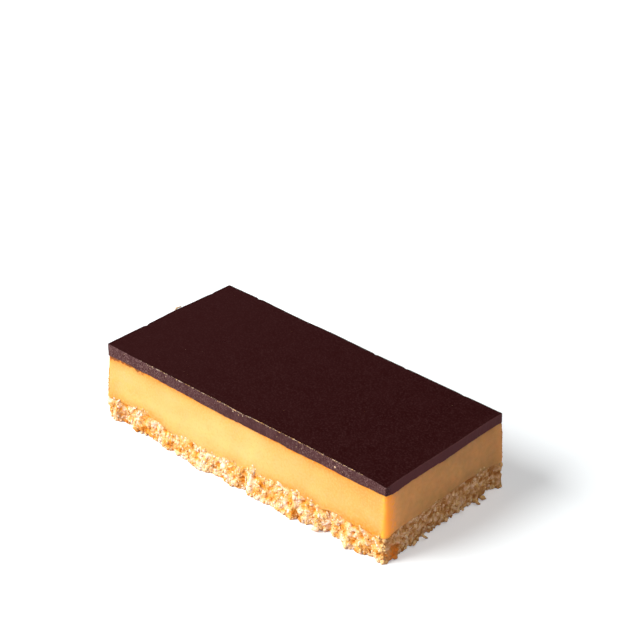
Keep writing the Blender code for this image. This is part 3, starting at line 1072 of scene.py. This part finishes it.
# %% Places for the bits
CAPS_BELOW = 4
CORE_TINT = 0.5
FLATTEN = (1.0, 1.0, 0.4)
ROOM_ABOVE = 0.25
DEEPEST = -0.25
HOLE_MARGIN = 0.2
OVERHANG_SHADE = 0.5


def side_of_core(piece, rows):
    """Points in mm and outward directions of the core's sides, which are some of its rows."""
    count = len(piece.data.vertices)
    points = np.empty(3 * count)
    normals = np.empty(3 * count)
    piece.data.vertices.foreach_get("co", points)
    piece.data.vertices.foreach_get("normal", normals)
    return points.reshape(-1, 3)[rows] / MM, normals.reshape(-1, 3)[rows]


side_rows = slice(CAPS_BELOW * base_around, (CAPS_BELOW + base_rings) * base_around)
side_points, side_normals = side_of_core(base_core, side_rows)
side_outwards = side_normals * FLATTEN
side_reliefs = base_reliefs[side_rows]
side_line = side_points[-base_around:, 2]
side_room = np.tile(side_line, base_rings) - side_points[:, 2]
core_tints = np.full(len(base_core.data.vertices), CORE_TINT)
core_tints[side_rows] += tone(side_points)
paint(base_core, "tint", core_tints)
print(len(side_points), "places on the core's sides")


def pick(rng, count, lowest, highest=TOP):
    """Random places on the core's sides between two heights, and not in its holes."""
    heights = side_points[:, 2]
    allowed = (heights >= lowest) & (heights <= highest) & (side_room > ROOM_ABOVE)
    for _, hole_y, hole_z, reach, _ in DEEP_HOLES:
        away = np.hypot(side_points[:, 1] - hole_y, side_points[:, 2] - hole_z)
        allowed &= ~((away < reach + HOLE_MARGIN) & (side_points[:, 0] > 0))
    allowed = np.flatnonzero(allowed & (side_reliefs > DEEPEST))
    chosen = rng.choice(allowed, count, replace=False)
    reliefs = side_reliefs[chosen] + OVERHANG_SHADE * np.minimum(side_normals[chosen, 2], 0)
    return side_points[chosen], unit(side_outwards[chosen]), reliefs


# %% [markdown]
# Crumbs of biscuit are the coarse bits, 0.4 to 1.9 mm long. Fine grains fill in between them,
# and a few shreds of coconut lie flat on both. Along the foot more crumbs rest on the floor.

# %% Crumbs, grains and shreds
CRUMB_COUNT, FOOT_COUNT, GRAIN_COUNT, FLAKE_COUNT = 1900, 430, 1600, 170


def make_crumbs():
    rng = np.random.default_rng(7)
    places, outwards, reliefs = pick(rng, CRUMB_COUNT, 0.3)
    length = lengths(rng, 0.46, 0.32, CRUMB_COUNT, (0.22, 0.95))
    sizes = np.column_stack((length, length * rng.uniform(0.7, 1.0, CRUMB_COUNT), 0.7 * length))
    tints = rng.normal(0.62, 0.18, CRUMB_COUNT) + tone(places)
    sinks = 0.4 * length
    return strew(
        "biscuit_crumbs", crumb_shapes, places, outwards, sizes, sinks, tints, rng, reliefs=reliefs
    )


def make_foot_crumbs():
    rng = np.random.default_rng(11)
    places, outwards, reliefs = pick(rng, FOOT_COUNT, 0.3, 1.2)
    length = lengths(rng, 0.5, 0.3, FOOT_COUNT, (0.25, 0.9))
    sizes = np.column_stack((length, length * rng.uniform(0.7, 1.0, FOOT_COUNT), 0.8 * length))
    places[:, 2] = 0.7 * length
    tints = rng.normal(0.60, 0.20, FOOT_COUNT) + tone(places)
    sinks = 0.3 * length
    return strew(
        "foot_crumbs", crumb_shapes, places, outwards, sizes, sinks, tints, rng, reliefs=reliefs
    )


def make_grains():
    rng = np.random.default_rng(8)
    places, outwards, reliefs = pick(rng, GRAIN_COUNT, 0.2)
    length = lengths(rng, 0.24, 0.3, GRAIN_COUNT)
    sizes = np.column_stack((length, length * rng.uniform(0.6, 1.0, GRAIN_COUNT), 0.8 * length))
    tints = rng.normal(0.64, 0.22, GRAIN_COUNT) + tone(places)
    sinks = rng.uniform(-0.1, 0.1, GRAIN_COUNT)
    return strew(
        "fine_grains", grain_shapes, places, outwards, sizes, sinks, tints, rng, reliefs=reliefs
    )


def make_flakes():
    rng = np.random.default_rng(9)
    places, outwards, reliefs = pick(rng, FLAKE_COUNT, 0.5)
    length = lengths(rng, 0.75, 0.3, FLAKE_COUNT)
    width = rng.uniform(0.25, 0.45, FLAKE_COUNT)
    sizes = np.column_stack((length, width, rng.uniform(0.12, 0.2, FLAKE_COUNT)))
    tints = rng.normal(0.75, 0.15, FLAKE_COUNT) + tone(places)
    sinks = rng.uniform(-0.2, 0.05, FLAKE_COUNT)
    return strew(
        "coconut_flakes", flake_shapes, places, outwards, sizes, sinks, tints, rng, 0.2, reliefs
    )


crumb_look = crumb_finish("biscuit_crumb", 0.0, 0.4)
flake_look = crumb_finish("coconut_flake", 0.12, 0.6)
finish_piece(make_crumbs(), crumb_look, "crumb")
finish_piece(make_foot_crumbs(), crumb_look, "crumb")
finish_piece(make_grains(), crumb_look, "crumb")
finish_piece(make_flakes(), flake_look, "crumb")

# %% [markdown]
# Some bits have come half loose: slivers and lumps lean from the foot of the short side, and a
# lump sticks out at the front. They are too few for chance, so each one is placed. A row holds
# the place, the way the bit points, its half length, its half width and its tint.

# %% Loose bits at the foot
LOOSE_BITS = (
    (53.1, -8.4, 0.90, (0.3, 0.64, -0.70), 1.7, 0.38, 0.62),
    (53.1, 13.6, 0.9, (0.3, 0.60, -0.74), 1.7, 0.50, 0.50),
    (52.9, 16.3, 0.9, (0.3, 0.80, -0.50), 1.4, 0.70, 0.45),
    (52.8, 7.8, 1.4, (0.1, 0.80, -0.50), 0.9, 0.40, 0.65),
    (52.9, -12.6, 1.0, (0.1, 0.90, 0.20), 1.1, 0.50, 0.70),
    (53.0, -20.6, 0.8, (0.2, 0.80, -0.50), 1.2, 0.60, 0.30),
    (52.8, 0.7, 1.5, (0.1, 0.50, -0.80), 0.7, 0.40, 0.65),
    (29.0, -25.6, 0.8, (0.95, 0.0, 0.25), 1.5, 0.75, 0.68),
)


def make_loose_bits():
    rng = np.random.default_rng(14)
    x, y, z, ways, length, width, tints = (np.array(column) for column in zip(*LOOSE_BITS))
    places = np.column_stack((x, y, z))
    sizes = np.column_stack((length, width, 0.7 * width))
    outwards = np.where(x[:, None] > 50, (1.0, 0.0, 0.1), (0.0, -1.0, 0.1))
    return strew(
        "loose_bits", crumb_shapes, places, outwards, sizes, 0 * x, tints, rng, 0.1, None, ways
    )


finish_piece(make_loose_bits(), crumb_look, "crumb")

# %% [markdown]
# ## Small bits on the chocolate and the caramel
# The knife dragged a film of caramel along the chocolate's front edge, where it dried as a thin
# broken line of pale grains. A painted line would stay flat in other views, so the line is made
# of some thousand tiny grains. `DRAG_SHARE` says where it is dense, and noise breaks it up.

# %% Grains along the front edge
DRAG_SHARE = (
    (-40, -0.2), (-33, 0.45), (-27, 0.5), (-20, 0.75), (-10, 0.85), (15, 0.95), (30, 0.6), (38, 0.5),
    (44, 0.4), (47, -0.5),
)
DRAG_COUNT = 5000
DRAG_GAPS = ((0.8, 5.0, 31.0), (0.6, 1.2, 32.0))
DRAG_LEVEL = 0.12
DRAG_GRAIN = 0.033
DRAG_THICK, DRAG_THICK_X, DRAG_THICK_REACH = 0.2, 10.0, 14.0
DRAG_TINT = 0.66


def surface_point(x, z):
    """A point on the chocolate's front side, at a place along it and a height."""
    y = -HALF_WIDTH - rises(x, CUT_FRONT)
    return np.column_stack((x, y, z))


def make_drag_line():
    rng = np.random.default_rng(12)
    x = rng.uniform(DRAG_SHARE[0][0], DRAG_SHARE[-1][0], DRAG_COUNT)
    dense = swells(np.column_stack((x, 0 * x, 0 * x)), DRAG_GAPS)
    kept = dense + rises(x, DRAG_SHARE) + rng.normal(0, 0.12, DRAG_COUNT) > DRAG_LEVEL
    x = x[kept]
    count = len(x)
    thick = 1 + DRAG_THICK * np.exp(-(((x - DRAG_THICK_X) / DRAG_THICK_REACH) ** 2))
    inwards = rng.uniform(0.06, 0.20, count) * thick
    places = surface_point(x, top_height(x, np.full(count, -HALF_WIDTH)) - 0.01 / inwards**0.8)
    places[:, 1] += inwards
    outwards = unit(np.column_stack((0 * x, -1 + 0 * x, 1 + 0 * x)))
    length = lengths(rng, DRAG_GRAIN, 0.4, count) * thick
    sizes = np.column_stack((1.6 * length, length, 0.8 * length))
    tints = DRAG_TINT - x / 400 + 0.3 * dense[kept] + rng.normal(0, 0.15, count)
    tints = np.clip(tints, 0, 1)
    return strew("caramel_drag_line", grain_shapes, places, outwards, sizes, 0 * x, tints, rng, 0.2)


# %% [markdown]
# A few crumbs stick to the chocolate's cut sides, and specks of crumb dust lie on the top. They
# are so few that each has its place: along the side and up it, with a size for the front's, and
# on the top by length and width.

# %% Crumbs and specks
SIDE_CRUMBS = (
    (34.5, 22.6, 0.34), (-3.0, 23.8, 0.22), (-0.8, 23.5, 0.16), (0.8, 23.9, 0.18),
    (-29.4, 23.8, 0.13), (-35.9, 23.6, 0.11), (-46.6, 23.9, 0.10), (-36.8, 24.3, 0.13),
    (-34.6, 24.2, 0.14), (13.5, 22.8, 0.12), (20.5, 22.7, 0.13), (22.4, 22.9, 0.11), (37.1, 22.3, 0.12),
)
TOP_SPECKS = (
    (-34.9, -10.9), (-38.3, -18.5), (-30.6, -8.5), (-29.8, -15.5), (-25.0, -20.1), (-27.9, -16.8),
    (-19.4, 16.9), (10.5, 2.6), (7.8, -15.3), (24.2, -0.8), (7.4, -22.3), (39.8, 17.8),
    (-46.5, 20.7), (-26.5, -19.8),
)
END_SPECKS = (
    (-6.4, 23.3), (-5.5, 22.2), (-22.0, 22.4), (-21.2, 22.1), (14.6, 22.3), (23.0, 23.0), (23.4, 23.7),
)
SPECK_SIZE = 0.042


def make_stray_crumbs():
    rng = np.random.default_rng(13)
    side_x, side_z, side_size = np.array(SIDE_CRUMBS).T
    top_x, top_y = np.array(TOP_SPECKS).T
    end_y, end_z = np.array(END_SPECKS).T
    end_x = HALF_LENGTH + rises(end_y, CUT_RIGHT)
    on_side = surface_point(side_x, side_z)
    on_top = np.column_stack((top_x, top_y, top_height(top_x, top_y)))
    on_end = np.column_stack((end_x, end_y, end_z))
    places = np.concatenate((on_side, on_top, on_end))
    facing = ((0.0, -1.0, 0.0), (0.0, 0.0, 1.0), (1.0, 0.0, 0.0))
    groups = (len(on_side), len(on_top), len(on_end))
    outwards = np.repeat(np.array(facing), groups, axis=0)
    specks = SPECK_SIZE * rng.uniform(0.7, 1.3, len(on_top) + len(on_end))
    length = np.concatenate((side_size, specks))
    sizes = np.column_stack((length, 0.8 * length, 0.6 * length))
    tints = np.concatenate((np.full(len(on_side), 0.7), rng.uniform(0.4, 0.8, len(specks))))
    return strew("stray_crumbs", crumb_shapes, places, outwards, sizes, 0.2 * length, tints, rng)


# %% [markdown]
# The caramel dried first at its upright edges, so its outline is a little grainy at the left and
# right. Grains are strewn on the mesh's outermost points there.

# %% Grains on the upright edges of the caramel
EDGE_GRAINS = 150
EDGE_WAYS = ((-1.0, -1.0), (1.0, 1.0))
EDGE_DEPTH = 1.1
EDGE_GRAIN = 0.13
EDGE_CLEAR = 0.3


def make_edge_grains():
    """Dry grains of caramel, which roughen its left and right edges."""
    rng = np.random.default_rng(15)
    points = np.array([vert.co for vert in caramel.data.vertices]) / MM
    x, y, z = points.T
    shown = (z > crumb_line(x, y)) & (z < chocolate_line(x, y) - EDGE_CLEAR)
    places = []
    outwards = []
    for way in EDGE_WAYS:
        reach = points[:, :2] @ way
        edge = points[shown & (reach > reach.max() - EDGE_DEPTH)]
        places.append(rng.choice(edge, EDGE_GRAINS))
        outwards.append(np.tile(unit(np.array((*way, 0.0))), (EDGE_GRAINS, 1)))
    places = np.concatenate(places)
    places[:, 2] += rng.uniform(-0.2, 0.2, len(places))
    length = lengths(rng, EDGE_GRAIN, 0.4, len(places))
    sizes = np.column_stack((length, 0.7 * length, 0.6 * length))
    tints = rng.uniform(-0.2, 0.35, len(places))
    return strew(
        "caramel_edge_grains", grain_shapes, places, np.concatenate(outwards), sizes,
        0 * length, tints, rng,
    )


# %% [markdown]
# Last, the knife left a pale smear on the far left edge of the chocolate. Three long lumps that
# overlap make it. The recipe for crumbs serves all these small bits, but without light soaking
# in, which would turn grains as fine as these greenish.

# %% A smear of caramel on the far left edge
SMEAR = ((-53.45, 3.3, 24.60, 0.6), (-53.6, 4.0, 24.68, 0.8), (-53.5, 4.9, 24.60, 0.7))


def make_smear():
    """A pale bit of caramel that the knife left on the chocolate's edge."""
    rng = np.random.default_rng(16)
    places = np.array(SMEAR)[:, :3]
    length = np.array(SMEAR)[:, 3]
    sizes = np.column_stack((length, 0.3 * length, 0.3 * length))
    facing = np.tile(unit(np.array((-0.7, 0.0, 0.7))), (len(SMEAR), 1))
    along = np.tile((0.1, 1.0, 0.0), (len(SMEAR), 1))
    tints = np.full(len(SMEAR), 0.5)
    return strew(
        "caramel_smear", crumb_shapes, places, facing, sizes, 0 * length, tints, rng, 0.1, None, along
    )


dust_look = crumb_finish("crumb_dust", 0.0, 0.3, soak=0.0)
finish_piece(make_drag_line(), dust_look, "caramel")
finish_piece(make_stray_crumbs(), dust_look, "crumb")
finish_piece(make_edge_grains(), dust_look, "caramel")
finish_piece(make_smear(), dust_look, "caramel")

# %% [markdown]
# ## Floor, light and camera
# The slice stands on a plain white floor. The floor is brighter to the camera than it is as a
# reflector, which keeps the shadow pale while the shaded side stays deep, and its bounce is
# faintly pink, which warms that side. Past the floor's edge the world is as white as it is.

# %% Floor
FLOOR_BOUNCE = (0.46, 0.34, 0.41)
FLOOR_SEEN = (0.76, 0.80, 0.81)
FLOOR_LIFT = 0.29
FLOOR_RADIUS = 0.6


def make_floor():
    bpy.ops.mesh.primitive_circle_add(vertices=96, radius=FLOOR_RADIUS, fill_type="NGON")
    floor = bpy.context.object
    floor.name = "floor"
    finish = Finish("white_floor")
    seen = finish.add("ShaderNodeLightPath").outputs["Is Camera Ray"]
    finish.set(Base_Color=finish.mix(seen, FLOOR_BOUNCE, FLOOR_SEEN))
    finish.set(Roughness=0.9, Specular_IOR_Level=0.0, Emission_Color=(1.0, 1.0, 1.0))
    finish.set(Emission_Strength=finish.math("MULTIPLY", seen, FLOOR_LIFT))
    floor.data.materials.append(finish.material)


make_floor()

# %% [markdown]
# A large soft disk at the front left, about 37 degrees up, is the main light: it lights the long
# side, leaves the short side in warm shade and throws a soft shadow to the back right. Three weak
# disks keep the shade from going black: one overhead, one at the right and one low in front.

# %% Light
LIGHT_DISTANCE = 1.6
WHITE = (1.0, 1.0, 1.0)
LIGHTS = (
    ("key_light", (-0.475, -0.635, 0.608), 1.30, 48.3, WHITE),
    ("overhead_light", (0.30, 0.05, 0.95), 1.2, 6.0, WHITE),
    ("right_fill", (0.85, -0.35, 0.42), 1.2, 3.3, (1.0, 0.82, 0.86)),
    ("front_fill", (-0.30, -0.94, 0.16), 0.5, 5.0, WHITE),
)
ROOM_LIGHT = 0.08


def make_light(name, direction, size, power, color):
    """A soft disk of light that looks at the slice."""
    data = bpy.data.lights.new(name, "AREA")
    data.shape = "DISK"
    data.size = size
    data.energy = power
    data.color = color
    light = bpy.data.objects.new(name, data)
    towards = Vector(direction).normalized()
    light.location = towards * LIGHT_DISTANCE
    light.rotation_euler = towards.to_track_quat("Z", "Y").to_euler()
    bpy.context.scene.collection.objects.link(light)


def make_world():
    """A dim pale room for light, and plain white where the camera sees past the floor."""
    world = bpy.data.worlds.new("studio")
    world.use_nodes = True
    tree = world.node_tree
    background = tree.nodes["Background"]
    background.inputs["Color"].default_value = (1.0, 1.0, 1.0, 1.0)
    path = tree.nodes.new("ShaderNodeLightPath")
    strength = tree.nodes.new("ShaderNodeMapRange")
    strength.inputs["To Min"].default_value = ROOM_LIGHT
    strength.inputs["To Max"].default_value = 1.0
    tree.links.new(path.outputs["Is Camera Ray"], strength.inputs["Value"])
    tree.links.new(strength.outputs["Result"], background.inputs["Strength"])
    bpy.context.scene.world = world


for settings in LIGHTS:
    make_light(*settings)
make_world()
bpy.context.scene.view_settings.view_transform = "Standard"

# %% [markdown]
# The camera looks down at the front right corner from 30 degrees up. Its place and lens were
# fitted to the slice's edges. A long lens far away keeps the long edges nearly parallel, and the
# target lies off the slice, because the slice isn't in the middle of the frame.

# %% Camera
CAMERA_AZIMUTH = math.radians(42.83)
CAMERA_ELEVATION = math.radians(30.25)
CAMERA_DISTANCE = 663.8
CAMERA_TARGET = Vector((-33.69, 39.92, 14.02))
CAMERA_LENS = 124.86


def make_camera():
    back = Vector((
        math.sin(CAMERA_AZIMUTH) * math.cos(CAMERA_ELEVATION),
        -math.cos(CAMERA_AZIMUTH) * math.cos(CAMERA_ELEVATION),
        math.sin(CAMERA_ELEVATION),
    ))
    data = bpy.data.cameras.new("camera")
    data.lens = CAMERA_LENS
    data.clip_start = 0.01
    camera = bpy.data.objects.new("camera", data)
    camera.location = (CAMERA_TARGET + back * CAMERA_DISTANCE) * MM
    camera.rotation_euler = back.to_track_quat("Z", "Y").to_euler()
    bpy.context.scene.collection.objects.link(camera)
    bpy.context.scene.camera = camera


make_camera()
